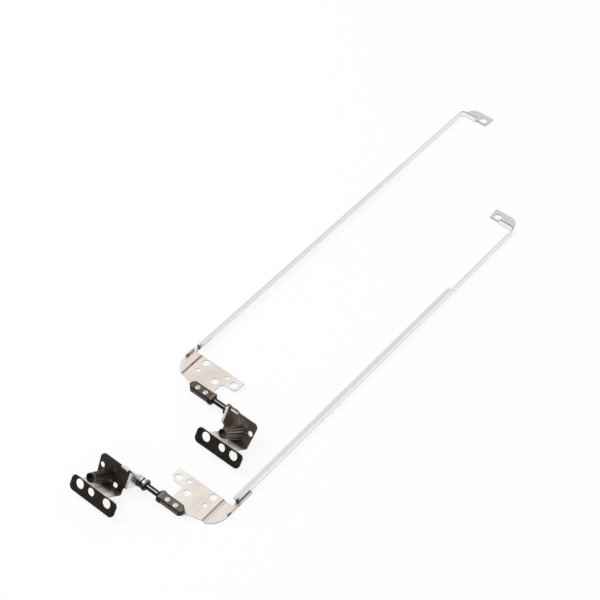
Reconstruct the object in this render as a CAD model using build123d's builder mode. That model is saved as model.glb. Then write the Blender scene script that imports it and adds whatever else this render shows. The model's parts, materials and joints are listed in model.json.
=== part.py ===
from build123d import *
import math
import os

# A left and a right laptop display hinge, lying side by side as they come off a laptop.
# X runs along both shafts, Y along the display rails and Z up from the table.
# Each piece is drawn for the left hinge, with u from its rail's datum towards the base,
# r along the rail from the rail's foot and z up, and is then mirrored for the right hinge.

# Overall layout
rail_span = 73.9          # between the two rails' datums, along the shafts
stagger = 54.4            # how far the right hinge lies behind the left one
base_tilt = 57.7          # base's turn about the shaft from lying flat, as the hinge rests

# Lid bracket: one folded sheet of nickel-plated steel
lid_sheet = 0.8           # sheet thickness
rail_face = 0.6           # rail wall's outer face from the datum
rail_foot = 0.6           # where the rail wall starts
rail_low_height = 4.2     # wall height along the flanged stretch
rail_top_height = 3.0     # wall height above it
rail_flange = 1.9         # inward flange, wall thickness included
rail_flange_end = 160.0   # where the flange stops
rail_corner = 215.4       # outer face of the wall after it turns the top corner
corner_radius = 2.2       # middle radius of that turn
cross_wall_end = 10.2     # end of the turned stretch
bend_radius = 0.5         # inside radius of the sharp bends
land_out = -0.6           # outer edge of the low land beside the plate
land_top = -1.2
land_low = -15.6
land_round_start = -6.5   # where the outer edge starts to round in
lug_end = 9.8             # end of the land's strip under the rail wall
lip_height = 2.2          # turned-up lip on the land's outer edge
lip_low = -6.5
plate_rise = 1.2          # plate's underside above the land's
joggle_foot = 4.9
joggle_top = 6.3
plate_top = -1.8
plate_end = 32.4
plate_tip_low = -8.3      # lower edge of the tongue
plate_tip_round = 2.2
plate_notch = 24.3        # edge of the notch beside the tongue
plate_notch_round = 2.4
plate_shoulder = 13.0     # where the lower edge goes under the shaft's paddle
plate_shoulder_low = -17.8
plate_toe = 17.4          # where it reaches its lowest, under the paddle
plate_setback = 0.5       # how far the plate stops short of the paddle's far edge
screw_hole = 3.8
locating_hole = 2.5
screw_holes = [(10.4, -4.1), (20.9, -9.6), (29.3, -5.7)]
locating_holes = [(10.4, -9.5), (24.0, -4.5)]
tab_width = 6.6           # top tab beyond the turned wall
tab_length = 16.8
tab_skew = 0.6            # how much shorter the tab's lower edge is
tab_start = 2.8
tab_round_end = 7.6       # where its rounded corner meets the far edge
tab_hole = 4.0
tab_hole_end = 3.7        # hole's middle from the tab's end
tab_hole_edge = 4.1       # and from its far edge
tab_window_length = 2.6   # relief beside the tab's bend
tab_window_width = 1.1
tab_window_middle = 6.6
tab_window_rise = 1.6     # its middle beyond the turned wall

# Shaft: one steel forging, flattened to a paddle at the lid end
axis_r = -19.0
paddle_start = 14.4
paddle_width = 4.6
paddle_thickness = 3.0
paddle_corner = 1.5       # at its free end
rod_diameter = 2.8
neck_diameter = 6.0       # round shoulder where the paddle meets the rod, flush with its top
neck_start = 26.8
neck_length = 1.4
neck_taper = 1.2          # taper from the shoulder down to the rod
collar_start = 36.2
collar_length = 1.0
collar_diameter = 5.6
collar_chamfer = 0.4
key_thickness = 2.1       # across the two flats that turn the washers
end_head_diameter = 3.6   # end riveted over the last washer
end_head_height = 0.6
end_head_chamfer = 0.3

# Rivets that hold the paddle to the plate
rivet_places = [18.9, 23.6]
rivet_shank = 1.8
rivet_head = 2.7
rivet_head_height = 0.3
rivet_tail_height = 0.35

# Bearing bracket: one moulded steel piece, on the base
bearing_sheet = 1.2
bearing_round = 2.6       # rounded end about the shaft
bearing_up = 6.0          # upright's free edge beyond the shaft's level line, at the base bracket
bearing_low = 2.4         # upright's and leg's other edge
bearing_leg_end = 46.8
bearing_fillet = 0.6      # in the corner between upright and leg
bearing_tab_start = 43.1
bearing_tab_length = 4.2

# Friction stack on the shaft
pressure_washer_diameter = 5.4
pressure_washer_sheet = 0.5
disc_spring_count = 2
disc_spring_diameter = 5.0
disc_spring_sheet = 0.5
disc_spring_dish = 0.4
front_ring_diameter = 5.2
front_ring_sheet = 1.0
rear_ring_diameter = 4.8
rear_ring_sheet = 0.5
end_washer_diameter = 4.6
end_washer_sheet = 0.7

# Base bracket: one pressed and folded sheet of blackened steel
base_sheet = 0.8
body_face = 8.3           # body's outer face from the shaft's axis
foot_face = 18.7          # foot's outer face from the shaft's axis
body_far = 59.1           # far end of the body's free edge
body_far_low = 57.8       # far end of the body and the wall at their bend
body_up = 6.35            # body's free edge beyond the shaft's level line
body_low = 6.2            # inside of the bend between body and wall
body_near_round = 0.8
body_far_round = 2.2
base_bend = 0.6           # radius of the bends
wall_setback = 1.0        # how far the wall's near end stands back from the body's
foot_wing_near = 6.42     # foot beyond the wall's near end
foot_wing_far = 5.0       # and beyond its far end
foot_up = 4.2             # outside of the bend between wall and foot
foot_wing_setback = 0.3   # how far the wings' edges stand back from that bend
foot_low = 12.4           # foot's free edge
foot_round = 2.4
foot_hole = 4.8
foot_hole_near = 5.4      # near hole's middle from the foot's near end
foot_hole_far = 4.9       # far hole's middle from the foot's far end
middle_hole = 4.0
middle_hole_far = 11.7    # its middle from the foot's far end
foot_hole_row = 7.5
body_hole = 2.7
body_hole_far = 2.4       # its middle from the body's far end
body_hole_up = 0.8
body_window_side = 2.6    # square window near the bend
body_window_round = 0.5
body_window_near = 5.2    # its middle from the body's near end
body_window_low = 4.1
tower_far = 7.9           # tower's middle from the body's far end
tower_top = 22.8          # tower's mouth from the shaft's axis
tower_mouth_up = 1.3      # mouth's middle beyond the shaft's level line
tower_mouth_radius = 2.3
tower_root_low = 2.2      # root's middle below the shaft's level line
tower_root_width = 5.6    # oval root, along the shaft
tower_root_height = 8.6   # and across it
tower_wall = 0.5

# Clearances
running_clearance = 0.05  # radial, shaft in its bearing
key_clearance = 0.03      # each side, washers on the shaft
face_clearance = 0.02     # between faces that rub
rivet_clearance = 0.03    # radial
notch_clearance = 0.15    # each end of the bearing bracket's tab

# Places that follow from the sizes above
plate_face = plate_rise + lid_sheet
axis_z = plate_face + paddle_thickness / 2
tilt = math.radians(base_tilt)
base_reach = foot_low * math.cos(tilt) + foot_face * math.sin(tilt)
tab_end = rail_corner + tab_width
rail_x = -rail_span / 2
rail_y = -(tab_end - stagger + axis_r - base_reach) / 2
axis_y = rail_y + axis_r
rail_inner = rail_face + lid_sheet
pressure_start = collar_start + collar_length
springs_start = pressure_start + pressure_washer_sheet
spring_pitch = disc_spring_sheet + disc_spring_dish
front_ring_start = springs_start + disc_spring_count * spring_pitch
bearing_near = front_ring_start + front_ring_sheet + face_clearance
bearing_far = bearing_near + bearing_sheet
rear_ring_start = bearing_far + face_clearance
end_washer_start = rear_ring_start + rear_ring_sheet
end_head_start = end_washer_start + end_washer_sheet

table = Plane((rail_x, rail_y, 0))
side = Plane((rail_x, rail_y, 0), x_dir=(1, 0, 0), z_dir=(0, -1, 0))
along_shaft = Plane((rail_x, axis_y, axis_z), x_dir=(1, 0, 0), z_dir=(0, -1, 0))
shaft_axis = Axis(along_shaft.origin, along_shaft.x_dir)
base = Plane(along_shaft.origin, x_dir=(1, 0, 0), z_dir=(0, -math.sin(tilt), math.cos(tilt)))
base_side = Plane(base.origin, x_dir=base.y_dir, z_dir=(1, 0, 0))


def side_at(r):
    """The plane of a sheet's profile, with u across and z up, at a place along the rail."""
    return side.offset(-r)


def across_shaft(u):
    """The plane square to the shaft, with Y across and Z up, at a place along it."""
    return Plane((rail_x + u, axis_y, axis_z), x_dir=(0, 1, 0), z_dir=(1, 0, 0))


def keyed_section(clearance):
    """The shaft's section with two flats, grown by a clearance."""
    with BuildSketch() as section:
        Circle(rod_diameter / 2 + clearance)
        Rectangle(rod_diameter + 2 * clearance, key_thickness + 2 * clearance, mode=Mode.INTERSECT)
    return section.sketch


def keyed_ring(start, thickness, diameter):
    """A flat ring that turns with the shaft."""
    with BuildPart() as washer:
        with BuildSketch(across_shaft(start)):
            Circle(diameter / 2)
            add(keyed_section(key_clearance), mode=Mode.SUBTRACT)
        extrude(amount=thickness)
    return washer


# Lid bracket: the plate and its low land, cut from one stepped sheet
slope = math.atan2(plate_rise, joggle_top - joggle_foot)
step_shift = lid_sheet * math.tan(slope / 2)
sheet_edge = plate_end + lid_sheet
paddle_edge = axis_r - paddle_width / 2 + plate_setback
with BuildPart() as lid_bracket:
    with BuildSketch(side_at(lug_end)) as stepped_sheet:
        with BuildLine():
            Polyline(
                (land_out, 0),
                (joggle_foot, 0),
                (joggle_top, plate_rise),
                (sheet_edge, plate_rise),
                (sheet_edge, plate_face),
                (joggle_top - step_shift, plate_face),
                (joggle_foot - step_shift, lid_sheet),
                (land_out, lid_sheet),
                close=True,
            )
        make_face()
        step_corners = stepped_sheet.vertices().filter_by_position(Axis.X, land_out / 2, plate_end)
        fillet(step_corners, radius=bend_radius)
    extrude(amount=lug_end - axis_r + paddle_width)
    with BuildSketch(table) as plate_outline:
        with BuildLine():
            Polyline(
                (land_out, land_round_start),
                (land_out, lug_end),
                (rail_inner, lug_end),
                (rail_inner, land_top),
                (joggle_top, plate_top),
                (plate_end, plate_top),
                (plate_end, plate_tip_low),
                (plate_notch, plate_tip_low),
                (plate_notch, paddle_edge),
                (plate_toe, paddle_edge),
                (plate_shoulder, plate_shoulder_low),
                (joggle_foot, land_low),
            )
            TangentArc((land_out, land_round_start), (joggle_foot, land_low), tangent=(0, -1))
        make_face()
        tongue_corner = plate_outline.vertices().sort_by_distance((plate_end, plate_tip_low))[0]
        fillet(tongue_corner, radius=plate_tip_round)
        notch_corner = plate_outline.vertices().sort_by_distance((plate_notch, plate_tip_low))[0]
        fillet(notch_corner, radius=plate_notch_round)
    extrude(amount=2 * plate_face, mode=Mode.INTERSECT)
    with BuildSketch(table):
        with Locations(*screw_holes):
            Circle(screw_hole / 2)
        with Locations(*locating_holes):
            Circle(locating_hole / 2)
        with Locations(*[(u, axis_r) for u in rivet_places]):
            Circle(rivet_shank / 2 + rivet_clearance)
    extrude(amount=2 * plate_face, mode=Mode.SUBTRACT)
    # The lip along the land's outer edge
    with BuildSketch(table):
        with Locations((land_out, lip_low)):
            Rectangle(lid_sheet, land_top - lip_low, align=(Align.MIN, Align.MIN))
    extrude(amount=lip_height)
    # The rail: a wall on edge, with its top turned inwards along the lower stretch
    with BuildSketch(side_at(rail_foot)) as rail_profile:
        with BuildLine():
            Polyline(
                (rail_face, 0),
                (rail_inner, 0),
                (rail_inner, rail_low_height - lid_sheet),
                (rail_face + rail_flange, rail_low_height - lid_sheet),
                (rail_face + rail_flange, rail_low_height),
                (rail_face, rail_low_height),
                close=True,
            )
        make_face()
        outside_bend = rail_profile.vertices().sort_by_distance((rail_face, rail_low_height))[0]
        fillet(outside_bend, radius=bend_radius + lid_sheet)
    extrude(amount=-(rail_flange_end - rail_foot))
    wall_middle = rail_face + lid_sheet / 2
    turn_middle = rail_corner - lid_sheet / 2
    with BuildSketch(table):
        with BuildLine() as wall_path:
            FilletPolyline(
                (wall_middle, rail_flange_end),
                (wall_middle, turn_middle),
                (cross_wall_end, turn_middle),
                radius=corner_radius,
            )
        trace(wall_path.line, line_width=lid_sheet)
    extrude(amount=rail_top_height)
    # The tab, bent out of the turned wall's lower edge
    with BuildSketch(table):
        with BuildLine():
            Polyline(
                (tab_round_end, tab_end),
                (tab_length, tab_end),
                (tab_length - tab_skew, turn_middle),
                (tab_start, turn_middle),
                (tab_start, rail_corner),
            )
            TangentArc((tab_round_end, tab_end), (tab_start, rail_corner), tangent=(-1, 0))
        make_face()
        with Locations((tab_length - tab_hole_end, tab_end - tab_hole_edge)):
            Circle(tab_hole / 2, mode=Mode.SUBTRACT)
        with Locations((tab_window_middle, rail_corner + tab_window_rise)):
            SlotOverall(tab_window_length, tab_window_width, mode=Mode.SUBTRACT)
    extrude(amount=lid_sheet)

# Shaft: paddle, neck, rod, collar, keyed stretch and riveted end
with BuildPart() as shaft:
    with BuildSketch(table.offset(plate_face)) as paddle_outline:
        with Locations((paddle_start, axis_r)):
            Rectangle(neck_start - paddle_start, paddle_width, align=(Align.MIN, Align.CENTER))
        chamfer(paddle_outline.vertices().group_by(Axis.X)[0], length=paddle_corner)
        with Locations(*[(u, axis_r) for u in rivet_places]):
            Circle(rivet_shank / 2 + rivet_clearance, mode=Mode.SUBTRACT)
    extrude(amount=paddle_thickness)
    with BuildSketch(along_shaft):
        with BuildLine():
            Polyline(
                (neck_start, 0),
                (neck_start, neck_diameter / 2),
                (neck_start + neck_length, neck_diameter / 2),
                (neck_start + neck_length + neck_taper, rod_diameter / 2),
                (collar_start, rod_diameter / 2),
                (collar_start, collar_diameter / 2 - collar_chamfer),
                (collar_start + collar_chamfer, collar_diameter / 2),
                (pressure_start, collar_diameter / 2),
                (pressure_start, 0),
                close=True,
            )
        make_face()
    revolve(axis=shaft_axis)
    with BuildSketch(table.offset(plate_face + paddle_thickness)):
        with Locations((neck_start, axis_r)):
            Rectangle(neck_length + neck_taper, neck_diameter, align=(Align.MIN, Align.CENTER))
    extrude(amount=neck_diameter, mode=Mode.SUBTRACT)
    with BuildSketch(across_shaft(pressure_start)):
        add(keyed_section(0))
    extrude(amount=end_head_start - pressure_start)
    with BuildSketch(across_shaft(end_head_start)):
        Circle(end_head_diameter / 2)
    extrude(amount=end_head_height)
    chamfer(faces().sort_by(Axis.X)[-1].edges(), length=end_head_chamfer)

# Rivets: low head on the paddle, tail under the plate
with BuildPart() as paddle_rivets:
    with BuildSketch(table.offset(plate_rise)):
        with Locations(*[(u, axis_r) for u in rivet_places]):
            Circle(rivet_shank / 2)
    extrude(amount=lid_sheet + paddle_thickness)
    with BuildSketch(table.offset(plate_rise - rivet_tail_height)):
        with Locations(*[(u, axis_r) for u in rivet_places]):
            Circle(rivet_head / 2)
    extrude(amount=rivet_tail_height)
    with BuildSketch(table.offset(plate_face + paddle_thickness)):
        with Locations(*[(u, axis_r) for u in rivet_places]):
            Circle(rivet_head / 2)
    extrude(amount=rivet_head_height)

# Friction stack between the collar and the bearing bracket, turning with the shaft
pressure_washer = keyed_ring(pressure_start, pressure_washer_sheet, pressure_washer_diameter)
front_friction_ring = keyed_ring(front_ring_start, front_ring_sheet, front_ring_diameter)

# Bearing bracket: upright round the shaft, leg under the base bracket, tab in its notch
leg_face = body_face - base_sheet
leg_corner = base.from_local_coords((bearing_far, 0, leg_face - bearing_sheet))
with BuildPart() as bearing_bracket:
    with BuildSketch(base_side.offset(bearing_near)):
        with BuildLine():
            Polyline(
                (bearing_round, 0),
                (bearing_up, body_face),
                (-bearing_low, body_face),
                (-bearing_round, 0),
                close=True,
            )
        make_face()
        Circle(bearing_round)
    extrude(amount=bearing_sheet)
    with BuildSketch(base.offset(leg_face - bearing_sheet)):
        with Locations((bearing_near, -bearing_low)):
            Rectangle(
                bearing_leg_end - bearing_near,
                body_up - notch_clearance + bearing_low,
                align=(Align.MIN, Align.MIN),
            )
    extrude(amount=bearing_sheet)
    with BuildSketch(base.offset(leg_face)):
        with Locations((bearing_tab_start, body_up - notch_clearance)):
            Rectangle(bearing_tab_length, base_sheet, align=(Align.MIN, Align.MAX))
    extrude(amount=base_sheet)
    edges_across = edges().filter_by(Axis(base.origin, base.y_dir))
    fillet(edges_across.sort_by_distance(leg_corner)[0], radius=bearing_fillet)
    with BuildSketch(base_side.offset(bearing_near)):
        Circle(rod_diameter / 2 + running_clearance)
    extrude(amount=bearing_sheet, mode=Mode.SUBTRACT)

# Ring and washer behind the bearing bracket, under the shaft's riveted end
rear_friction_ring = keyed_ring(rear_ring_start, rear_ring_sheet, rear_ring_diameter)
end_washer = keyed_ring(end_washer_start, end_washer_sheet, end_washer_diameter)

# Disc springs: dished washers, set face to face and back to back
hole_radius = rod_diameter / 2 + key_clearance
rim_radius = disc_spring_diameter / 2
with BuildPart() as disc_springs:
    for number in range(disc_spring_count):
        flipped = number % 2
        start = springs_start + number * spring_pitch
        rim_dish = disc_spring_dish * flipped
        hole_dish = disc_spring_dish - rim_dish
        with BuildSketch(along_shaft):
            with BuildLine():
                Polyline(
                    (start + hole_dish, hole_radius),
                    (start + hole_dish + disc_spring_sheet, hole_radius),
                    (start + rim_dish + disc_spring_sheet, rim_radius),
                    (start + rim_dish, rim_radius),
                    close=True,
                )
            make_face()
        revolve(axis=shaft_axis)

# Base bracket: body over the shaft, wall, foot, and the drawn tower that leans over the body
body_near = bearing_far
wall_near = body_near + wall_setback
foot_near = wall_near - foot_wing_near
foot_far = body_far_low + foot_wing_far
wing_up = foot_up + foot_wing_setback
wall_lean = (body_low - foot_up) / (foot_face - body_face)
wall_back = base_sheet * (math.hypot(1, wall_lean) + wall_lean)
with BuildPart() as base_bracket:
    with BuildSketch(base_side.offset(body_near)) as folded_sheet:
        with BuildLine():
            Polyline(
                (body_up, body_face),
                (-body_low, body_face),
                (-foot_up, foot_face),
                (-foot_low, foot_face),
                (-foot_low, foot_face - base_sheet),
                (-foot_up - wall_back, foot_face - base_sheet),
                (-body_low - wall_back, body_face - base_sheet),
                (body_up, body_face - base_sheet),
                close=True,
            )
        make_face()
        bends = folded_sheet.vertices().sort_by(Axis.X)[2:-2]
        fillet(bends, radius=base_bend)
    extrude(amount=body_far - body_near)
    with BuildSketch(base) as body_outline:
        with BuildLine():
            Polyline(
                (body_near, body_up),
                (body_far, body_up),
                (body_far_low, -body_low),
                (body_far_low, -foot_low),
                (wall_near, -foot_low),
                (wall_near, -bearing_low - wall_setback),
                (body_near, -bearing_low),
                close=True,
            )
        make_face()
        free_corners = body_outline.vertices().group_by(Axis.Y)[-1].sort_by(Axis.X)
        fillet(free_corners[-1], radius=body_far_round)
        fillet(free_corners[0], radius=body_near_round)
    extrude(amount=foot_face, mode=Mode.INTERSECT)
    with BuildSketch(base.offset(foot_face - base_sheet)):
        with Locations(((foot_near + foot_far) / 2, -(wing_up + foot_low) / 2)):
            RectangleRounded(foot_far - foot_near, foot_low - wing_up, foot_round)
        with Locations((wall_near, -wing_up)):
            Rectangle(
                body_far_low - wall_near,
                foot_low - wing_up,
                align=(Align.MIN, Align.MAX),
                mode=Mode.SUBTRACT,
            )
    extrude(amount=base_sheet)
    with BuildSketch(base.offset(foot_face)):
        screw_row = [(u, -foot_hole_row) for u in (foot_near + foot_hole_near, foot_far - foot_hole_far)]
        with Locations(*screw_row):
            Circle(foot_hole / 2)
        with Locations((foot_far - middle_hole_far, -foot_hole_row)):
            Circle(middle_hole / 2)
    extrude(amount=-base_sheet, mode=Mode.SUBTRACT)
    with BuildSketch(base.offset(body_face)):
        with Locations((body_far - body_hole_far, body_hole_up)):
            Circle(body_hole / 2)
        with Locations((body_near + body_window_near, -body_window_low)):
            RectangleRounded(body_window_side, body_window_side, body_window_round)
        with Locations((bearing_tab_start - notch_clearance, body_up)):
            Rectangle(
                bearing_tab_length + 2 * notch_clearance,
                base_sheet + 2 * notch_clearance,
                align=(Align.MIN, Align.MAX),
            )
    extrude(amount=-base_sheet, mode=Mode.SUBTRACT)
    tower_middle = body_far - tower_far
    for wall, mode in ((0, Mode.ADD), (tower_wall, Mode.SUBTRACT)):
        with BuildSketch(base.offset(leg_face)):
            with Locations((tower_middle, -tower_root_low)):
                Ellipse(tower_root_width / 2 - wall, tower_root_height / 2 - wall)
        with BuildSketch(base.offset(tower_top)):
            with Locations((tower_middle, tower_mouth_up)):
                Circle(tower_mouth_radius - wall)
        loft(mode=mode)

os.makedirs("parts", exist_ok=True)
pieces = {
    "lid_bracket": lid_bracket,
    "shaft": shaft,
    "paddle_rivets": paddle_rivets,
    "pressure_washer": pressure_washer,
    "disc_springs": disc_springs,
    "front_friction_ring": front_friction_ring,
    "bearing_bracket": bearing_bracket,
    "rear_friction_ring": rear_friction_ring,
    "end_washer": end_washer,
    "base_bracket": base_bracket,
}
for name, left in pieces.items():
    left.part.label = "left_" + name
    export_step(left.part, f"parts/{left.part.label}.step")
    with BuildPart() as right:
        add(left.part.mirror(Plane.YZ).moved(Location((0, -stagger, 0))))
    right.part.label = "right_" + name
    export_step(right.part, f"parts/{right.part.label}.step")
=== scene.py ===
import json
import math

import bmesh
import bpy
from mathutils import Matrix, Vector


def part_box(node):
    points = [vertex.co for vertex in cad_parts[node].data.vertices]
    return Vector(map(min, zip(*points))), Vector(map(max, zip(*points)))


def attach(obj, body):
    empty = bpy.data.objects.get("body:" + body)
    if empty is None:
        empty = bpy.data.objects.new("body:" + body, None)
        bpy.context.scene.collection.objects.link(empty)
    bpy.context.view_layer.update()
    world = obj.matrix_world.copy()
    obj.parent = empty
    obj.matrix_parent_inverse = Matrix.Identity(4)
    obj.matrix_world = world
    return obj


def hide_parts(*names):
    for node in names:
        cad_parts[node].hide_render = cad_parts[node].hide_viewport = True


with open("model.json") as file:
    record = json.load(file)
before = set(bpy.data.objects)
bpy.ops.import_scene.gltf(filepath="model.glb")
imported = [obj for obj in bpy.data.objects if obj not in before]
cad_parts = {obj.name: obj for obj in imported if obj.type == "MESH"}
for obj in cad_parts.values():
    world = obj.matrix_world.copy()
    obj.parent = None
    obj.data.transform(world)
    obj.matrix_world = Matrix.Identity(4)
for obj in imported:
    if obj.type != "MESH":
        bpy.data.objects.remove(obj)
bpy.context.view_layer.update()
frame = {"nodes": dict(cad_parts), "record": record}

# Lid brackets. Each is one strip of nickel-plated steel, blanked and folded: the screw plate, the
# joggled land with its lip, and the rail on edge beside the display. The plate is a warm champagne,
# the rail a cooler silver and the sheared edges grey. The rail's upright faces carry a painted
# reflection. The joggle's slope is painted shaded on the left hinge and lit on the right. Painted
# shade darkens the fold line, the inside corners, the rims, the rail's foot, the lip's end and the
# crease beside the lug.
hinge_sides = {"left": 1, "right": -1}


def new_finish(name, metallic, roughness):
    """A material with its shader, and the place and facing of each point in the piece's own space."""
    finish = bpy.data.materials.new(name)
    finish.use_nodes = True
    tree = finish.node_tree
    shader = tree.nodes["Principled BSDF"]
    shader.inputs["Metallic"].default_value = metallic
    shader.inputs["Roughness"].default_value = roughness
    space = tree.nodes.new("ShaderNodeTexCoord")
    return finish, tree, shader, space.outputs["Object"], space.outputs["Normal"]


def grain(tree, place, scale, stretch=(1, 1, 1), detail=4.0):
    """Noise in the piece's own space, drawn out along the axes by the stretch."""
    mapping = tree.nodes.new("ShaderNodeMapping")
    mapping.inputs["Scale"].default_value = stretch
    tree.links.new(place, mapping.inputs["Vector"])
    noise = tree.nodes.new("ShaderNodeTexNoise")
    noise.inputs["Scale"].default_value = scale
    noise.inputs["Detail"].default_value = detail
    tree.links.new(mapping.outputs["Vector"], noise.inputs["Vector"])
    return noise.outputs["Fac"]


def spread(tree, value, low, high, to_low=0.0, to_high=1.0):
    """A value between low and high, spread over a new range and held at its ends."""
    node = tree.nodes.new("ShaderNodeMapRange")
    node.inputs["From Min"].default_value = low
    node.inputs["From Max"].default_value = high
    node.inputs["To Min"].default_value = to_low
    node.inputs["To Max"].default_value = to_high
    tree.links.new(value, node.inputs["Value"])
    return node.outputs["Result"]


def reach(tree, vector, direction, start=0.0):
    """How far a vector reaches in a direction, counted from a start."""
    dot = tree.nodes.new("ShaderNodeVectorMath")
    dot.operation = "DOT_PRODUCT"
    dot.inputs[1].default_value = direction
    tree.links.new(vector, dot.inputs[0])
    less = tree.nodes.new("ShaderNodeMath")
    less.operation = "SUBTRACT"
    less.inputs[1].default_value = start
    tree.links.new(dot.outputs["Value"], less.inputs[0])
    return less.outputs["Value"]


def either_way(tree, value):
    """A value without its sign."""
    node = tree.nodes.new("ShaderNodeMath")
    node.operation = "ABSOLUTE"
    tree.links.new(value, node.inputs[0])
    return node.outputs["Value"]


def both(tree, first, second):
    """Where two values are high at once."""
    node = tree.nodes.new("ShaderNodeMath")
    node.operation = "MULTIPLY"
    tree.links.new(first, node.inputs[0])
    tree.links.new(second, node.inputs[1])
    return node.outputs["Value"]


def between(tree, value, starts, full, fades, gone):
    """A stretch that starts, is full, fades and is gone at four places in that order."""
    return both(tree, spread(tree, value, starts, full), spread(tree, value, gone, fades))


def mix_node(tree, value):
    """A colour mix driven by a value, with its two colour inputs and its result."""
    node = tree.nodes.new("ShaderNodeMix")
    node.data_type = "RGBA"
    sockets = {s.identifier: s for s in (*node.inputs, *node.outputs)}
    tree.links.new(value, sockets["Factor_Float"])
    return sockets["A_Color"], sockets["B_Color"], sockets["Result_Color"]


def tint(tree, value, first, second):
    """A colour that runs from the first to the second as the value goes from 0 to 1."""
    under, upper, result = mix_node(tree, value)
    under.default_value = (*first, 1)
    upper.default_value = (*second, 1)
    return result


def over(tree, value, colour, second):
    """A second colour laid over the first by a value."""
    under, upper, result = mix_node(tree, value)
    tree.links.new(colour, under)
    upper.default_value = (*second, 1)
    return result


def soft_edges(tree, radius):
    """The facing of a piece with its sharp edges rounded, and a value that is high along them."""
    bevel = tree.nodes.new("ShaderNodeBevel")
    bevel.samples = 6
    bevel.inputs["Radius"].default_value = radius
    geometry = tree.nodes.new("ShaderNodeNewGeometry")
    dot = tree.nodes.new("ShaderNodeVectorMath")
    dot.operation = "DOT_PRODUCT"
    tree.links.new(bevel.outputs["Normal"], dot.inputs[0])
    tree.links.new(geometry.outputs["Normal"], dot.inputs[1])
    return bevel.outputs["Normal"], spread(tree, dot.outputs["Value"], 0.99, 0.80)


def crease(tree, depth):
    """A value that is high in inside corners, where shade is painted, and 0 on open faces."""
    occlusion = tree.nodes.new("ShaderNodeAmbientOcclusion")
    occlusion.samples = 8
    occlusion.inputs["Distance"].default_value = depth
    return spread(tree, occlusion.outputs["AO"], 0.85, 0.5)


def relief(tree, shader, facing, height, strength, distance):
    """Fine relief on a surface, from a height."""
    bump = tree.nodes.new("ShaderNodeBump")
    bump.inputs["Strength"].default_value = strength
    bump.inputs["Distance"].default_value = distance
    tree.links.new(facing, bump.inputs["Normal"])
    tree.links.new(height, bump.inputs["Height"])
    tree.links.new(bump.outputs["Normal"], shader.inputs["Normal"])


def dress(name, finish):
    """Gives a CAD piece its finish."""
    node = frame["nodes"][name]
    node.data.materials.clear()
    node.data.materials.append(finish)


rail_length = 0.222
rail_datum = 0.0006
plate_warm = (0.695, 0.625, 0.56)
plate_pale = (0.755, 0.70, 0.635)
land_pink = (0.755, 0.678, 0.63)
tongue_grey = (0.79, 0.76, 0.725)
rail_silver = (0.69, 0.695, 0.695)
standing_reflection_white = (0.87, 0.87, 0.865)
turned_grey = (0.33, 0.33, 0.325)
tab_grey = (0.62, 0.62, 0.615)
joggle_slope_light_and_shade = {"left": (0.26, 0.22, 0.19), "right": (0.70, 0.645, 0.605)}
joggle_shade_line = (0.24, 0.205, 0.18)
sheared_grey = (0.56, 0.52, 0.48)
shade_black = (0.02, 0.018, 0.017)
rim_shade_grey = (0.40, 0.38, 0.36)
crease_shade = (0.30, 0.25, 0.21)
# Across the plate, from the rail's datum.
land_fade = (0.0062, 0.0052)
joggle_stretch = (0.0055, 0.0060, 0.0063, 0.0066)
tongue_fade = (0.021, 0.029)
lip_fade = (0.0004, 0.0002)
# Along the rail, from where it begins.
plate_fade = (0.0002, -0.0012)
silver_fade = (-0.0010, 0.0010)
standing_fade = (0.0008, 0.0020)
foot_stretch = (-0.0004, 0.0004, 0.0014, 0.0030)
lip_stretch = (-0.0067, -0.0065, -0.0050, -0.0042)
lug_stretch = (0.0, 0.0010, 0.0095, 0.0110)
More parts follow.
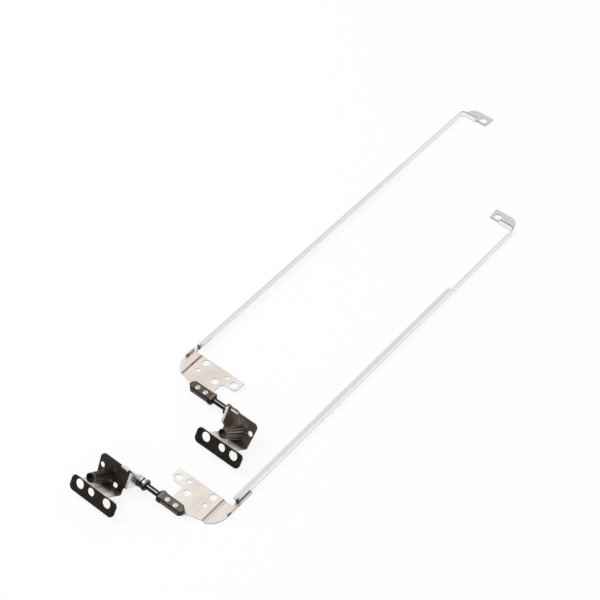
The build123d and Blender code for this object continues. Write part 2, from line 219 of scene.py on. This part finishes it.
# Along the rail, from its far end.
turned_fade = (-0.0092, -0.0076)
tab_fade = (-0.0066, -0.0062)
for side, inward in hinge_sides.items():
    nickel, tree, shader, place, facing = new_finish(f"{side}_nickel_sheet", 1.0, 0.3)
    low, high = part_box(f"{side}_lid_bracket")
    datum = inward * (low.x if side == "left" else high.x) + rail_datum
    from_rail = reach(tree, place, (inward, 0, 0), datum)
    up_rail = reach(tree, place, (0, 1, 0), high.y - rail_length)
    from_top = reach(tree, place, (0, 1, 0), high.y)
    level = either_way(tree, reach(tree, facing, (0, 0, 1)))
    on_edge = spread(tree, level, 0.6, 0.3)
    on_plate = spread(tree, up_rail, *plate_fade)

    cloud = spread(tree, grain(tree, place, 110, detail=3), 0.35, 0.65)
    plating = tint(tree, cloud, plate_warm, plate_pale)
    plating = over(tree, spread(tree, from_rail, *tongue_fade), plating, tongue_grey)
    plating = over(tree, spread(tree, from_rail, *land_fade), plating, land_pink)
    plating = over(tree, spread(tree, up_rail, *silver_fade), plating, rail_silver)
    # Painted reflection: the rail's upright faces are painted near white, as the white table they
    # mirror.
    standing = both(tree, spread(tree, level, 0.5, 0.2), spread(tree, up_rail, *standing_fade))
    plating = over(tree, standing, plating, standing_reflection_white)
    turned = both(tree, spread(tree, from_top, *turned_fade), spread(tree, level, 0.5, 0.8))
    plating = over(tree, turned, plating, turned_grey)
    plating = over(tree, spread(tree, from_top, *tab_fade), plating, tab_grey)

    # Painted light on the joggle's slope: painted shade on the left hinge, a pale painted reflection on
    # the right.
    slope = both(tree, spread(tree, level, 0.95, 0.8), on_plate)
    plating = over(tree, slope, plating, joggle_slope_light_and_shade[side])
    # A dark line of painted shade along the top of the slope, where the bend turns in.
    step_line = both(tree, between(tree, from_rail, *joggle_stretch), on_plate)
    plating = over(tree, step_line, plating, joggle_shade_line)
    plating = over(tree, both(tree, on_edge, on_plate), plating, sheared_grey)
    # Painted shade: the faces inside the rail's foot are painted black.
    rail_foot = both(tree, between(tree, up_rail, *foot_stretch), spread(tree, level, 0.8, 0.5))
    plating = over(tree, rail_foot, plating, shade_black)
    # Painted shade: the lip's end is painted black.
    lip_end = both(tree, between(tree, up_rail, *lip_stretch), spread(tree, from_rail, *lip_fade))
    plating = over(tree, both(tree, lip_end, on_edge), plating, shade_black)

    # Painted shade in the inside corners, found by occlusion.
    corners = crease(tree, 0.0012)
    plating = over(tree, both(tree, corners, spread(tree, cloud, 0, 1, 0.5, 0.8)), plating, crease_shade)
    # Painted shade: the crease beside the lug is painted black.
    lug = between(tree, up_rail, *lug_stretch)
    plating = over(tree, both(tree, corners, lug), plating, shade_black)
    # Painted shade along the rounded rims, darker where the rolled edges turn away from the light.
    rounded, edges = soft_edges(tree, 0.0002)
    plating = over(tree, spread(tree, edges, 0, 1, 0, 0.55), plating, rim_shade_grey)
    tree.links.new(plating, shader.inputs["Base Color"])
    rolling = grain(tree, place, 5200, stretch=(1, 0.02, 1), detail=6)
    tree.links.new(spread(tree, rolling, 0.3, 0.7, 0.24, 0.38), shader.inputs["Roughness"])
    relief(tree, shader, rounded, rolling, 0.08, 0.00004)
    dress(f"{side}_lid_bracket", nickel)

# Shafts. Each is forged in one piece: a flat paddle that lies on the plate, a neck, a turned rod
# and a collar. The steel is blackened and oiled, rubbed grey on top of the paddle, with the lathe's
# fine rings left on it. A painted highlight runs along the top of the rod and over the collar, and a
# strip along the paddle's front is left black as painted shade.
oxide_dark = (0.010, 0.009, 0.0085)
oxide_light = (0.026, 0.0235, 0.0215)
oxide_edge = (0.012, 0.0105, 0.01)
paddle_rubbed = {"left": (0.125, 0.108, 0.094), "right": (0.165, 0.15, 0.134)}
rod_highlight = {"left": (0.13, 0.124, 0.12), "right": (0.17, 0.164, 0.16)}
collar_highlight = {"left": (0.09, 0.085, 0.082), "right": (0.27, 0.26, 0.25)}
neck_pale = (0.25, 0.215, 0.213)
# Along the shaft, from the hinge.
paddle_fade = (-0.0126, -0.0132)
neck_fade = (-0.0143, -0.0135)
rod_fade = (-0.0122, -0.0118)
collar_stretch = (-0.0049, -0.0047, -0.0041, -0.0039)
# Across the shaft, from its axis.
paddle_shaded_front_fade = (-0.0018, -0.0014)
paddle_border = 0.0012
hinges = {j["name"]: Vector(j["pos_m"]) for j in frame["record"]["behaviour"]["joints"]}
for side, inward in hinge_sides.items():
    gunmetal, tree, shader, place, facing = new_finish(f"{side}_gunmetal_steel", 1.0, 0.3)
    hinge = hinges[f"{side}_hinge"]
    along_shaft = reach(tree, place, (inward, 0, 0), inward * hinge.x)
    across_shaft = reach(tree, place, (0, 1, 0), hinge.y)
    oxide = spread(tree, grain(tree, place, 700, detail=5), 0.35, 0.68)
    skin = tint(tree, oxide, oxide_dark, oxide_light)

    paddle_top = spread(tree, reach(tree, facing, (0, 0, 1)), 0.88, 0.98)
    rubbed = both(tree, paddle_top, spread(tree, along_shaft, *paddle_fade))
    rubbed = both(tree, rubbed, spread(tree, oxide, 0, 1, 0.75, 1.0))
    # Painted shade: a strip along the paddle's front edge is left black, so that the shaded side looks
    # deeper.
    rubbed = both(tree, rubbed, spread(tree, across_shaft, *paddle_shaded_front_fade))
    rubbed = both(tree, rubbed, spread(tree, soft_edges(tree, paddle_border)[1], 0, 1, 1.0, 0.1))
    skin = over(tree, rubbed, skin, paddle_rubbed[side])
    on_neck = both(tree, rubbed, spread(tree, along_shaft, *neck_fade))
    skin = over(tree, on_neck, skin, neck_pale)

    # A painted highlight: a pale streak along the top of the rod, where the lamp glints.
    rod_top = spread(tree, reach(tree, facing, (0, -0.24, 0.97)), 0.935, 0.995)
    rod_streak = both(tree, rod_top, spread(tree, along_shaft, *rod_fade))
    skin = over(tree, rod_streak, skin, rod_highlight[side])
    # A painted highlight on the side of the collar that turns up towards the light.
    collar_top = spread(tree, reach(tree, facing, (0, 0.3, 0.954)), 0.3, 0.7)
    lit_collar = both(tree, between(tree, along_shaft, *collar_stretch), collar_top)
    skin = over(tree, lit_collar, skin, collar_highlight[side])

    rounded, edges = soft_edges(tree, 0.0004)
    skin = over(tree, spread(tree, edges, 0, 1, 0, 0.85), skin, oxide_edge)
    tree.links.new(skin, shader.inputs["Base Color"])
    rings = grain(tree, place, 9000, stretch=(1, 0.02, 0.02), detail=4)
    tree.links.new(spread(tree, rings, 0.3, 0.7, 0.22, 0.36), shader.inputs["Roughness"])
    relief(tree, shader, rounded, rings, 0.08, 0.00003)
    dress(f"{side}_shaft", gunmetal)

# Paddle rivets. Each is a soft steel pin pressed through the paddle and the plate, whose head was
# spun down: a low dome with a rolled rim and the ring that the tool left, pale and dull beside the
# black paddle. One pin is turned from its profile and set in both places of each hinge.
rivet_low, rivet_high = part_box("left_paddle_rivets")
rivet_length = rivet_high.z - rivet_low.z
rivet_radius = (rivet_high.y - rivet_low.y) / 2
rivet_shank = 0.0009
head_height = 0.0003
tail_height = 0.00035
shank_length = rivet_length - tail_height - head_height
ring_depth = 0.00004
ring_place = 0.52
ring_width = 0.1
profile_steps = 16
turn_steps = 48
rivet_dark = (0.40, 0.375, 0.355)
rivet_pale = (0.68, 0.65, 0.625)
rivet_side = (0.05, 0.045, 0.042)


def dome(share):
    """Height of a spun head, as a share of its full height, at a share of its radius."""
    return 1 - share ** 6


def tool_ring(share):
    """Depth of the ring that the spinning tool left in a head, at a share of its radius."""
    return ring_depth * math.exp(-((share - ring_place) / ring_width) ** 2)


shares = [k / profile_steps for k in range(profile_steps + 1)]
profile = [(rivet_radius * s, -tail_height * dome(s)) for s in shares]
profile += [(rivet_shank, 0), (rivet_shank, shank_length)]
for s in reversed(shares):
    profile.append((rivet_radius * s, shank_length + head_height * dome(s) - tool_ring(s)))
turned_pin = bmesh.new()
points = [turned_pin.verts.new((r, 0, z)) for r, z in profile]
line = [turned_pin.edges.new(pair) for pair in zip(points, points[1:])]
bmesh.ops.spin(
    turned_pin,
    geom=points + line,
    cent=(0, 0, 0),
    axis=(0, 0, 1),
    angle=2 * math.pi,
    steps=turn_steps,
    use_merge=True,
)
bmesh.ops.remove_doubles(turned_pin, verts=turned_pin.verts, dist=1e-7)
bmesh.ops.recalc_face_normals(turned_pin, faces=turned_pin.faces)
for face in turned_pin.faces:
    face.smooth = True
pin_mesh = bpy.data.meshes.new("rivet_pin")
turned_pin.to_mesh(pin_mesh)
turned_pin.free()
pin_mesh.set_sharp_from_angle(angle=math.radians(50))
pin = bpy.data.objects.new("rivet_pin", pin_mesh)

set_rivets = bpy.data.node_groups.new("set_rivets", "GeometryNodeTree")
sockets = set_rivets.interface
sockets.new_socket("Places", in_out="INPUT", socket_type="NodeSocketGeometry")
pin_in = sockets.new_socket("Pin", in_out="INPUT", socket_type="NodeSocketObject")
steel_in = sockets.new_socket("Steel", in_out="INPUT", socket_type="NodeSocketMaterial")
sockets.new_socket("Rivets", in_out="OUTPUT", socket_type="NodeSocketGeometry")
given = set_rivets.nodes.new("NodeGroupInput")
result = set_rivets.nodes.new("NodeGroupOutput")
pin_info = set_rivets.nodes.new("GeometryNodeObjectInfo")
set_pins = set_rivets.nodes.new("GeometryNodeInstanceOnPoints")
realize = set_rivets.nodes.new("GeometryNodeRealizeInstances")
set_steel = set_rivets.nodes.new("GeometryNodeSetMaterial")
set_rivets.links.new(given.outputs["Pin"], pin_info.inputs["Object"])
set_rivets.links.new(given.outputs["Places"], set_pins.inputs["Points"])
set_rivets.links.new(pin_info.outputs["Geometry"], set_pins.inputs["Instance"])
set_rivets.links.new(set_pins.outputs["Instances"], realize.inputs["Geometry"])
set_rivets.links.new(realize.outputs["Geometry"], set_steel.inputs["Geometry"])
set_rivets.links.new(given.outputs["Steel"], set_steel.inputs["Material"])
set_rivets.links.new(set_steel.outputs["Geometry"], result.inputs["Rivets"])

for side in hinge_sides:
    rivet_steel, tree, shader, place, facing = new_finish(f"{side}_rivet_steel", 1.0, 0.4)
    scuff = spread(tree, grain(tree, place, 2600, detail=6), 0.35, 0.65)
    skin = tint(tree, scuff, rivet_dark, rivet_pale)
    off_top = spread(tree, reach(tree, facing, (0, 0, 1)), 0.9, 0.5)
    skin = over(tree, off_top, skin, rivet_side)
    tree.links.new(skin, shader.inputs["Base Color"])
    tree.links.new(spread(tree, scuff, 0, 1, 0.34, 0.5), shader.inputs["Roughness"])
    relief(tree, shader, soft_edges(tree, 0.0001)[0], scuff, 0.12, 0.00004)

    low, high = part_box(f"{side}_paddle_rivets")
    middle = (low.y + high.y) / 2
    shank_foot = low.z + tail_height
    places = bpy.data.meshes.new(f"{side}_rivet_places")
    ends = [(low.x + rivet_radius, middle, shank_foot), (high.x - rivet_radius, middle, shank_foot)]
    places.from_pydata(ends, [], [])
    rivets = bpy.data.objects.new(f"{side}_spun_rivets", places)
    bpy.context.collection.objects.link(rivets)
    setting = rivets.modifiers.new("set_rivets", "NODES")
    setting.node_group = set_rivets
    setting[pin_in.identifier] = pin
    setting[steel_in.identifier] = rivet_steel
    bpy.context.view_layer.update()
    evaluated = rivets.evaluated_get(bpy.context.evaluated_depsgraph_get())
    spun = bpy.data.meshes.new_from_object(evaluated)
    rivets.modifiers.remove(setting)
    rivets.data = spun
    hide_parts(f"{side}_paddle_rivets")
    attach(rivets, "lid_side")

# Friction stack. Hardened washers, dished springs and rings are threaded on the shaft's two flats,
# greased, and squeezed between its collar and the bearing bracket. Their dark steel is mottled with
# old grease, and a painted highlight lies on the faces that turn up towards the light.
rim_highlight = (0.80, 0.745, 0.735)
stack_steels = (
    ("pressure_washer", (0.045, 0.036, 0.034), (0.085, 0.07, 0.066), 0.30),
    ("disc_springs", (0.05, 0.04, 0.038), (0.11, 0.09, 0.086), 0.26),
    ("front_friction_ring", (0.04, 0.032, 0.03), (0.08, 0.066, 0.062), 0.34),
    ("rear_friction_ring", (0.04, 0.032, 0.03), (0.08, 0.066, 0.062), 0.34),
    ("end_washer", (0.30, 0.285, 0.27), (0.46, 0.44, 0.42), 0.32),
)
for side in hinge_sides:
    for piece, dark, light, gloss in stack_steels:
        ring_steel, tree, shader, place, facing = new_finish(f"{side}_{piece}_steel", 1.0, gloss)
        grease = spread(tree, grain(tree, place, 1500, detail=5), 0.35, 0.65)
        skin = tint(tree, grease, dark, light)
        # A painted highlight on the faces that turn up towards the light.
        lit_rim_top = spread(tree, reach(tree, facing, (0, 0.5, 0.866)), 0.5, 0.75)
        skin = over(tree, lit_rim_top, skin, rim_highlight)
        tree.links.new(skin, shader.inputs["Base Color"])
        dulled = spread(tree, grease, 0, 1, gloss - 0.06, gloss + 0.1)
        tree.links.new(dulled, shader.inputs["Roughness"])
        rings = grain(tree, place, 6000, stretch=(1, 0.05, 0.05))
        relief(tree, shader, soft_edges(tree, 0.00012)[0], rings, 0.06, 0.00003)
        dress(f"{side}_{piece}", ring_steel)

# Bearing brackets. Each is a steel upright with a hole for the shaft, bright zinc plated, and its
# leg lies under the base bracket with a tab that stands in that bracket's notch. On the left hinge
# the edge that faces up along the base is painted dark as shade, and painted shade darkens the
# inside corners.
base_tilt = math.radians(57.7)
base_up = Vector((0, math.cos(base_tilt), math.sin(base_tilt)))
zinc_dark = (0.74, 0.715, 0.70)
zinc_light = (0.84, 0.825, 0.81)
zinc_edge = (0.34, 0.32, 0.31)
zinc_crease_shade = (0.16, 0.14, 0.13)
up_edge_tone = {"left": (0.10, 0.09, 0.085), "right": (0.74, 0.735, 0.725)}
for side in hinge_sides:
    zinc, tree, shader, place, facing = new_finish(f"{side}_bearing_steel", 1.0, 0.3)
    spangle = spread(tree, grain(tree, place, 900, detail=4), 0.35, 0.65)
    plating = tint(tree, spangle, zinc_dark, zinc_light)
    # The face that turns up along the base: painted shade on the left hinge, plain zinc on the right.
    facing_up = spread(tree, reach(tree, facing, base_up), 0.8, 0.95)
    plating = over(tree, facing_up, plating, up_edge_tone[side])
    # Painted shade in the inside corners.
    plating = over(tree, crease(tree, 0.001), plating, zinc_crease_shade)
    rounded, edges = soft_edges(tree, 0.00015)
    plating = over(tree, spread(tree, edges, 0, 1, 0, 0.6), plating, zinc_edge)
    tree.links.new(plating, shader.inputs["Base Color"])
    tree.links.new(spread(tree, spangle, 0, 1, 0.25, 0.4), shader.inputs["Roughness"])
    relief(tree, shader, rounded, grain(tree, place, 6000, detail=4), 0.06, 0.00003)
    dress(f"{side}_bearing_bracket", zinc)

# Base brackets. Each is one sheet, blanked, folded and drawn up into a hollow leaning tower, then
# dipped in a thin black coat. The coat is glossy and browner on the body. The wall along the foot's
# fold is pale, partly worn through to steel and partly a painted reflection. The streaks along the
# tower and over the body are partly marks of the drawing and partly painted highlights, and the
# tower's hollow is painted dark as shade.
foot_dark = {"left": (0.0105, 0.0082, 0.006), "right": (0.007, 0.0045, 0.002)}
foot_light = {"left": (0.019, 0.0155, 0.012), "right": (0.014, 0.0095, 0.005)}
body_brown = {"left": (0.125, 0.102, 0.082), "right": (0.034, 0.026, 0.020)}
body_stain = (0.024, 0.013, 0.009)
stain_share = {"left": 0.75, "right": 0.6}
body_marks_and_highlights = {"left": (0.21, 0.17, 0.14), "right": (0.075, 0.057, 0.045)}
tower_brown = {"left": (0.044, 0.031, 0.023), "right": (0.016, 0.0105, 0.0075)}
tower_marks_and_highlights = {"left": (0.38, 0.31, 0.26), "right": (0.08, 0.06, 0.046)}
mouth_pale = (0.10, 0.085, 0.072)
mouth_shade = (0.011, 0.0075, 0.0055)
wall_brown = (0.085, 0.066, 0.053)
wall_steel_and_reflection = (0.88, 0.815, 0.75)
coat_edge = (0.05, 0.044, 0.039)
# The tower's leaning axis and the wall, across the shaft and out from it at the base's own tilt.
tower_from_hinge = 0.0101
tower_root = Vector((0, -0.0022, 0.0075))
tower_mouth = Vector((0, 0.0013, 0.0228))
tower_lean = (tower_mouth.y - tower_root.y) / (tower_mouth.z - tower_root.z)
axis_start = tower_root.y - tower_lean * tower_root.z
wall_foot = Vector((0, -0.0062, 0.0083))
wall_top = Vector((0, -0.0042, 0.0187))
wall_facing = (wall_top - wall_foot).cross(Vector((1, 0, 0))).normalized()
wall_level = wall_facing.dot(wall_foot)
# Out from the shaft.
body_fade = (0.0088, 0.0083)
tower_fade = (0.0083, 0.0089)
hollow_fade = (0.0140, 0.0150)
pale_wall_fade = (0.0115, 0.0160)
wall_end_fade = (0.0187, 0.0183)
# Out from the tower's mouth, away from its axis, and through the wall from its inner face.
mouth_stretch = (-0.0017, -0.0011, -0.0005, -0.0003)
tower_edge_fade = (0.0056, 0.0046)
hollow_edge_fade = (0.0021, 0.0019)
body_streak_fade = (0.0080, 0.0042)
wall_stretch = (-0.0006, -0.0004, 0.0001, 0.0003)
for side, inward in hinge_sides.items():
    coat, tree, shader, place, facing = new_finish(f"{side}_black_sheet", 0.0, 0.22)
    from_hinge = tree.nodes.new("ShaderNodeMapping")
    from_hinge.vector_type = "TEXTURE"
    from_hinge.inputs["Location"].default_value = hinges[f"{side}_hinge"]
    from_hinge.inputs["Rotation"].default_value = (base_tilt, 0, 0)
    tree.links.new(place, from_hinge.inputs["Vector"])
    on_base = from_hinge.outputs["Vector"]
    out = reach(tree, on_base, (0, 0, 1))
    from_mouth = reach(tree, on_base, (0, 0, 1), tower_mouth.z)
    from_wall = reach(tree, on_base, wall_facing, wall_level)
    around = tree.nodes.new("ShaderNodeCombineXYZ")
    tree.links.new(reach(tree, on_base, (inward, 0, 0), tower_from_hinge), around.inputs["X"])
    tree.links.new(reach(tree, on_base, (0, 1, -tower_lean), axis_start), around.inputs["Y"])
    length = tree.nodes.new("ShaderNodeVectorMath")
    length.operation = "LENGTH"
    tree.links.new(around.outputs["Vector"], length.inputs[0])
    away = length.outputs["Value"]
    turn = tree.nodes.new("ShaderNodeVectorMath")
    turn.operation = "NORMALIZE"
    tree.links.new(around.outputs["Vector"], turn.inputs[0])
    heading = turn.outputs["Vector"]

    cloud = spread(tree, grain(tree, place, 380, detail=5), 0.35, 0.65)
    black = tint(tree, cloud, foot_dark[side], foot_light[side])
    body = spread(tree, out, *body_fade)
    brown = both(tree, body, spread(tree, cloud, 0, 1, 0.55, 1.0))
    black = over(tree, brown, black, body_brown[side])
    patches = spread(tree, grain(tree, place, 190, detail=4), 0.48, 0.62, 0, stain_share[side])
    black = over(tree, both(tree, patches, body), black, body_stain)
    # Streaks over the body around the tower, partly marks of the drawing and partly painted highlights.
    body_streaks = both(tree, spread(tree, grain(tree, heading, 4, detail=6), 0.50, 0.64), body)
    body_streaks = both(tree, body_streaks, spread(tree, away, *body_streak_fade))
    black = over(tree, body_streaks, black, body_marks_and_highlights[side])

    on_tower = both(tree, spread(tree, away, *tower_edge_fade), spread(tree, out, *tower_fade))
    black = over(tree, on_tower, black, tower_brown[side])
    # Streaks along the tower, partly marks of the drawing and partly painted highlights.
    tower_streaks = both(tree, spread(tree, grain(tree, heading, 5, detail=6), 0.5, 0.62), on_tower)
    black = over(tree, tower_streaks, black, tower_marks_and_highlights[side])

    # The wall along the foot's fold runs from brown to pale, partly coat worn through to steel and
    # partly a painted reflection.
    wall = both(tree, between(tree, from_wall, *wall_stretch), spread(tree, out, *wall_end_fade))
    black = over(tree, wall, black, wall_brown)
    streaks = spread(tree, grain(tree, heading, 6, detail=5), 0.42, 0.58, 0.78, 1.0)
    pale_wall = both(tree, both(tree, wall, spread(tree, out, *pale_wall_fade)), streaks)
    black = over(tree, pale_wall, black, wall_steel_and_reflection)

    black = over(tree, between(tree, from_mouth, *mouth_stretch), black, mouth_pale)
    # Painted shade inside the tower's hollow.
    hollow = both(tree, spread(tree, away, *hollow_edge_fade), spread(tree, out, *hollow_fade))
    black = over(tree, hollow, black, mouth_shade)
    rounded, edges = soft_edges(tree, 0.0002)
    black = over(tree, spread(tree, edges, 0, 1, 0, 0.7), black, coat_edge)
    tree.links.new(black, shader.inputs["Base Color"])
    tree.links.new(spread(tree, cloud, 0, 1, 0.18, 0.32), shader.inputs["Roughness"])
    shader.inputs["Specular IOR Level"].default_value = 0.12
    relief(tree, shader, rounded, grain(tree, place, 2400, detail=3), 0.05, 0.00004)
    dress(f"{side}_base_bracket", coat)

# Table and light. The pair lies on white paper under an even white sky, with one soft lamp at the
# front left for the faint shadows. The paper is mostly clear to the camera and to reflections, with
# the white sky behind it, so a base that swings below the table still shows.
table_size = 6.0
paper_clear = 0.85
sky_light = 0.8
bpy.ops.mesh.primitive_plane_add(size=table_size)
table = bpy.context.object
table.name = "white_table"
paper = bpy.data.materials.new("white_paper")
paper.use_nodes = True
tree = paper.node_tree
tree.nodes.clear()
finished = tree.nodes.new("ShaderNodeOutputMaterial")
matte = tree.nodes.new("ShaderNodeBsdfDiffuse")
matte.inputs["Color"].default_value = (0.9, 0.9, 0.9, 1)
clear = tree.nodes.new("ShaderNodeBsdfTransparent")


def seen_directly(tree):
    """A value that is 1 for what the camera or a reflection sees and 0 for what only lights the part."""
    path = tree.nodes.new("ShaderNodeLightPath")
    node = tree.nodes.new("ShaderNodeMath")
    node.operation = "MAXIMUM"
    tree.links.new(path.outputs["Is Camera Ray"], node.inputs[0])
    tree.links.new(path.outputs["Is Glossy Ray"], node.inputs[1])
    return node.outputs["Value"]


mix = tree.nodes.new("ShaderNodeMixShader")
tree.links.new(spread(tree, seen_directly(tree), 0, 1, 0, paper_clear), mix.inputs["Fac"])
tree.links.new(matte.outputs["BSDF"], mix.inputs[1])
tree.links.new(clear.outputs["BSDF"], mix.inputs[2])
tree.links.new(mix.outputs["Shader"], finished.inputs["Surface"])
table.data.materials.append(paper)

sky = bpy.data.worlds.new("white_studio")
bpy.context.scene.world = sky
sky.use_nodes = True
tree = sky.node_tree
background = tree.nodes["Background"]
background.inputs["Color"].default_value = (1, 1, 1, 1)
tree.links.new(spread(tree, seen_directly(tree), 0, 1, sky_light, 1.0), background.inputs["Strength"])

lamp = bpy.data.lights.new("soft_lamp", "AREA")
lamp.shape = "SQUARE"
lamp.size = 0.5
lamp.energy = 4.0
lamp_stand = bpy.data.objects.new("soft_lamp", lamp)
bpy.context.collection.objects.link(lamp_stand)
lamp_stand.location = (-0.55, -0.30, 0.85)
lamp_aim = Vector((0, -0.08, 0)) - lamp_stand.location
lamp_stand.rotation_euler = lamp_aim.to_track_quat("-Z", "Y").to_euler()

# Camera. It stands to the right of the shafts and above, at a view fitted to both hinges.
view_azimuth = math.radians(39.75)
view_elevation = math.radians(49.27)
view_distance = 0.7733
view_aim = Vector((-0.0186, -0.00732, 0))
focal_pixels = 1576.35
picture_pixels = 600
back = Vector((
    math.sin(view_azimuth) * math.cos(view_elevation),
    -math.cos(view_azimuth) * math.cos(view_elevation),
    math.sin(view_elevation),
))
right = Vector((math.cos(view_azimuth), math.sin(view_azimuth), 0))
up = back.cross(right)
lens = bpy.data.cameras.new("product_camera")
lens.sensor_width = 36.0
lens.lens = lens.sensor_width * focal_pixels / picture_pixels
lens.clip_start = 0.01
lens.clip_end = 20
camera = bpy.data.objects.new("product_camera", lens)
bpy.context.collection.objects.link(camera)
view_turn = Matrix((right, up, back)).transposed().to_4x4()
camera.matrix_world = Matrix.Translation(view_aim + back * view_distance) @ view_turn
bpy.context.scene.camera = camera
bpy.context.scene.view_settings.view_transform = "Standard"
